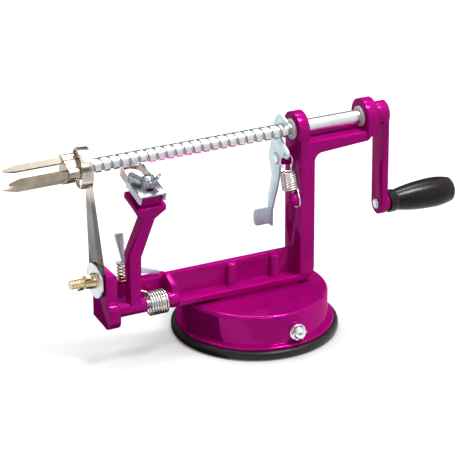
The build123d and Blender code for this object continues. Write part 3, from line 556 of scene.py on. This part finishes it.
def buildReleaseSpring():
    o = releaseSpring
    foot, stud = Vector(o["foot"]), Vector(o["stud"])
    length = o["pitch"] * o["turns"] + o["reach"] + 2 * o["loop"]
    across = (o["earX"] - foot.x) / length
    w = Vector((across, o["lean"], math.sqrt(1 - across ** 2 - o["lean"] ** 2)))
    u = (Vector((1, 0, 0)) - w * w.x).normalized()
    v = w.cross(u)
    angles = sweep(*o["lowHook"])
    low = [stud + Vector((0, math.sin(a), math.cos(a))) * o["studLoop"] for a in angles]
    lowStart, lowEnd = [Vector((0, math.cos(a), -math.sin(a))) for a in (angles[0], angles[-1])]
    low.insert(0, low[0] - lowStart * o["wire"])
    turns, first, last = coil(foot, u, v, w, o["radius"], o["pitch"], o["turns"])
    centre = foot + w * (length - o["loop"])
    angles = sweep(*o["highHook"])
    high = [centre + (u * math.sin(a) - w * math.cos(a)) * o["loop"] for a in angles]
    highStart, highEnd = [u * math.cos(a) + w * math.sin(a) for a in (angles[0], angles[-1])]
    high.append(high[-1] + highEnd * o["wire"])
    line = low[:-1] + lead(low[-1], lowEnd, turns[0], first)
    line += turns[:-1] + lead(turns[-1], last, high[0], highStart) + high
    points, faces = tubeAlong(placed(line), o["wire"] / 2 * mm, o["sides"])
    piece = meshPiece("releaseSpringWire", points, faces, "wire", None)
    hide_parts("release_spring")
    (centre - w * o["loop"]) * mm
    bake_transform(piece)


torsionSpring = {
    "wire": 1.3, "radius": 7.6, "turns": 6.75, "pitch": 1.8, "start": (-82.2, -9.0, 36.7),
    "armLeg": (-86.4, -6.8, 45.7), "armEnd": -91.2, "wallLeg": (-66.65, -1.4, 39.1), "wallEnd": -64.2,
    "bendsFrom": (-84.0, -9.0, 36.7), "bendsTo": (-70.0, -9.0, 36.7), "perTurn": 48, "sides": 16,
}


def buildTorsionSpring():
    o = torsionSpring
    axis = Vector((1, 0, 0))
    near, far = Vector(o["armLeg"]), Vector(o["wallLeg"])
    turns, first, last = coil(Vector(o["start"]), Vector((0, 0, 1)), Vector((0, -1, 0)), axis,
                              o["radius"], o["pitch"], o["turns"], o["perTurn"])
    line = [Vector((o["armEnd"], near.y, near.z)), Vector(((o["armEnd"] + near.x) / 2, near.y, near.z))]
    line += lead(near, axis, turns[0], first) + turns[:-1]
    line += lead(turns[-1], last, far, axis) + [far, Vector((o["wallEnd"], far.y, far.z))]
    points, faces = tubeAlong(placed(line), o["wire"] / 2 * mm, o["sides"])
    piece = meshPiece("armSpringWire", points, faces, "wire", None)
    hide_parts("torsion_spring")
    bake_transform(piece)


catchSpring = {
    "wire": 1.0, "radius": 2.95, "turns": 5.5, "endTurn": 0.1, "centre": (-93.5, 6.0),
    "low": 48.8, "high": 61.2, "sides": 14,
}


def buildCatchSpring():
    o = catchSpring
    pitch = (o["high"] - o["low"]) / (o["turns"] + o["endTurn"])
    turns, first, last = coil(Vector((*o["centre"], o["low"])), Vector((1, 0, 0)), Vector((0, 1, 0)),
                              Vector((0, 0, 1)), o["radius"], pitch, o["turns"])
    line = [turns[0] - first * o["wire"]] + turns + [turns[-1] + last * o["wire"]]
    points, faces = tubeAlong(placed(line), o["wire"] / 2 * mm, o["sides"])
    piece = meshPiece("catchSpringWire", points, faces, "yellow", None)
    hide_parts("catch_spring")
    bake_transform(piece)


springStud = {
    "centre": (24.8, -9.0, 89.5), "ball": 4.2, "shank": 1.9, "shankFrom": 0.95, "wallX": 28.8,
    "arc": (6, 150, 25), "sides": 40,    # degrees from, to, and points
}


# turned knob on the upright that the release spring's lower loop is hung on
def buildSpringStud():
    o = springStud
    centre = Vector(o["centre"])
    profile = [(-math.cos(a) * o["ball"], math.sin(a) * o["ball"]) for a in sweep(*o["arc"])]
    profile += [(o["ball"] * o["shankFrom"], o["shank"]), (o["wallX"] - centre.x, o["shank"])]
    points = []
    for along, radius in profile:
        for k in range(o["sides"]):
            a = 2 * math.pi * k / o["sides"]
            points.append((centre + Vector((along, radius * math.cos(a), radius * math.sin(a)))) * mm)
    meshPiece("springStud", points, skinRings(len(profile), o["sides"]), "enamel", "stand")


buildSpringStud()
buildReleaseSpring()
buildTorsionSpring()
buildCatchSpring()
print("springs: 3, studs: 1")


threadForm = {
    "sides": 28, "rowsPerPitch": 6, "slope": 1.5, "crest": 0.25, "chamferRun": 1.6, "chamferCut": 1.2,
}


def clamp(value):
    return min(1.0, max(0.0, value))


# bar with a screw thread cut in it, along Z from low to high
def threadedBar(radius, depth, pitch, low, high, plainTo):
    f = threadForm
    points = []
    rows = round((high - low) / pitch * f["rowsPerPitch"])
    for i in range(rows + 1):
        z = low + (high - low) * i / rows
        for k in range(f["sides"]):
            turn = k / f["sides"]
            wave = abs(((z / pitch - turn) % 1.0) * 2 - 1)
            cut = depth * clamp(wave * f["slope"] - f["crest"]) * clamp((z - plainTo) / pitch)
            end = max(0.0, 1 - (high - z) / (depth * f["chamferRun"])) * depth * f["chamferCut"]
            r = radius - max(cut, end)
            points.append(Vector((r * math.cos(turn * 2 * math.pi), r * math.sin(turn * 2 * math.pi), z)))
    return points, skinRings(rows + 1, f["sides"])


threads = {
    "slicerStudThread": {
        "node": "slicer_stud", "body": "stand", "finish": "yellow", "slot": "yellow_zinc",
        "radius": 3.0, "depth": 0.36, "pitch": 1.0, "low": 0.0, "high": 27.3, "plainTo": 9.6,
        "foot": (-104.7, 2.0, 55.5), "turned": (-90, "Y"),
    },
    "bladeScrewThread": {
        "node": "blade_screw", "body": "arm", "finish": "zinc", "slot": "zinc_steel",
        "radius": 2.5, "depth": 0.3, "pitch": 0.8, "low": -13.6, "high": 7.6, "plainTo": -4.0,
        "foot": (-80.5, -6.5, 118.3), "turned": (14, "X"),
    },
}
for name, o in threads.items():
    points, faces = threadedBar(o["radius"], o["depth"], o["pitch"], o["low"], o["high"], o["plainTo"])
    degrees, axis = o["turned"]
    place = Matrix.Translation(o["foot"]) @ Matrix.Rotation(math.radians(degrees), 4, axis)
    piece = meshPiece(name, [place @ p * mm for p in points], faces, o["finish"], o["body"])
    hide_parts(o["node"])
print("threads:", len(threads))


# floor, light and camera
studio = {
    "floorColour": (0.40, 0.40, 0.405),    # the glow below is seen, and lights nothing
    "floorGlow": 0.70,
    "glowSpan": (0.20, 0.55),
    "shadeReach": 40 * mm,
    "shadePower": 1.3,
    "shadeSamples": 4,
    "floorHalf": 4.0,
    "floorDrop": 0.05 * mm,
    "skyLight": 0.12,
    # place, aim, size in metres and watts
    "lamps": [
        ("key", (0.40, -0.50, 1.45), (0.0, 0.0, 0.07), (0.42, 0.42), 21.0),
        ("overhead", (0.20, 0.50, 1.35), (0.0, 0.0, 0.06), (0.8, 0.45), 11.5),
        ("leftFill", (-1.55, -0.55, 0.55), (-0.02, 0.0, 0.09), (0.3, 0.9), 0.4),
        ("front", (-0.20, -1.50, 1.15), (0.0, 0.0, 0.08), (0.50, 0.22), 2.6),
    ],
    # glowing boards that only reflections see: two opposite corners and the strength
    "cards": [
        ("backCard", (-2.0, 1.5, 0.0), (2.0, 1.5, 1.3), 0.12),
        ("highCard", (-2.0, 1.5, 1.3), (2.0, 1.5, 3.6), 0.35),
        ("leftCard", (-1.9, -1.4, 0.0), (-1.9, 1.5, 1.1), 0.50),
        ("frontCard", (-1.6, -2.4, 0.0), (0.6, -2.4, 1.2), 0.10),
        ("nearFloor", (-1.9, -2.4, 0.0003), (0.9, -0.09, 0.0003), 0.75),
        ("farFloor", (-1.9, -0.09, 0.0003), (0.9, 1.5, 0.0003), 1.15),
        ("baseShade", (-0.135, -0.04, 0.0006), (-0.02, 0.16, 0.0006), 0.03),
    ],
    "camera": (-0.72153, -1.41361, 0.75981), "target": (0.0, 0.0, 0.0685), "lens": 206.06,
    "shift": (-0.0556, 0.0041), "sensor": 36.0, "clip": (0.01, 50.0),
}


def seenRay(nodes):
    path = nodes.node("ShaderNodeLightPath")
    outs = path.socket.node.outputs
    kinds = ("Is Camera Ray", "Is Glossy Ray", "Is Transmission Ray")
    camera, glossy, clear = [Wire(nodes, outs[kind]) for kind in kinds]
    return camera.maths("MAXIMUM", glossy).maths("MAXIMUM", clear)


def flatPiece(name, low, high):
    x, y, z = low
    u, v, w = high
    if z == w:
        corners = [(x, y, z), (u, y, z), (u, v, z), (x, v, z)]
    else:
        corners = [(x, y, z), (u, v, z), (u, v, w), (x, y, w)]
    mesh = bpy.data.meshes.new(name)
    mesh.from_pydata(corners, [], [(0, 1, 2, 3)])
    piece = bpy.data.objects.new(name, mesh)
    bpy.context.scene.collection.objects.link(piece)
    return piece


def aimAt(piece, place, aim):
    piece.location = place
    piece.rotation_euler = (Vector(aim) - Vector(place)).to_track_quat("-Z", "Y").to_euler()
    bpy.context.scene.collection.objects.link(piece)


def buildFloor():
    half = studio["floorHalf"]
    floor = flatPiece("floor", (-half, -half, 0), (half, half, 0))
    floor.location.z = -studio["floorDrop"]
    s = Finish("paleFloor")
    matt = s.node("ShaderNodeBsdfDiffuse", sockets={"Color": studio["floorColour"]})
    # painted contact shadow: ambient occlusion darkens the glow near the object
    sky = s.node("ShaderNodeAmbientOcclusion", {"samples": studio["shadeSamples"]},
                 {"Distance": studio["shadeReach"]}, 1)
    x, y, z = s.split()
    level = s.spread((x ** 2 + y ** 2) ** 0.5, *studio["glowSpan"], studio["floorGlow"], 1.0)
    strength = seenRay(s) * level * sky ** studio["shadePower"]
    glow = s.node("ShaderNodeEmission", sockets={"Strength": strength})
    both = s.node("ShaderNodeAddShader", sockets={0: matt, 1: glow})
    s.node("ShaderNodeOutputMaterial", sockets={0: both})
    floor.data.materials.append(s.material)


def buildWorld():
    world = bpy.data.worlds.new("studioWorld")
    world.use_nodes = True
    bpy.context.scene.world = world
    w = Nodes(world.node_tree)
    level = seenRay(w) * (1 - studio["skyLight"]) + studio["skyLight"]
    sky = w.node("ShaderNodeBackground", sockets={"Color": (1.0, 1.0, 1.0), "Strength": level})
    w.node("ShaderNodeOutputWorld", sockets={0: sky})


def buildLights():
    for name, place, aim, size, power in studio["lamps"]:
        lamp = bpy.data.lights.new(name, "AREA")
        lamp.shape = "RECTANGLE"
        lamp.size, lamp.size_y = size
        lamp.energy = power
        aimAt(bpy.data.objects.new(name, lamp), place, aim)
    for name, low, high, level in studio["cards"]:
        card = flatPiece(name, low, high)
        c = Finish(name)
        glow = c.node("ShaderNodeEmission", sockets={"Strength": level})
        c.node("ShaderNodeOutputMaterial", sockets={0: glow})
        card.data.materials.append(c.material)
        card.visible_camera = False
        card.visible_diffuse = False
        card.visible_transmission = False
        card.visible_shadow = False


def buildCamera():
    lens = bpy.data.cameras.new("photoCamera")
    lens.sensor_width = studio["sensor"]
    lens.lens = studio["lens"]
    lens.shift_x, lens.shift_y = studio["shift"]
    lens.clip_start, lens.clip_end = studio["clip"]
    camera = bpy.data.objects.new("photoCamera", lens)
    aimAt(camera, studio["camera"], studio["target"])
    bpy.context.scene.camera = camera
    bpy.context.scene.view_settings.view_transform = "Standard"


buildFloor()
buildWorld()
buildLights()
buildCamera()
print("studio ready")
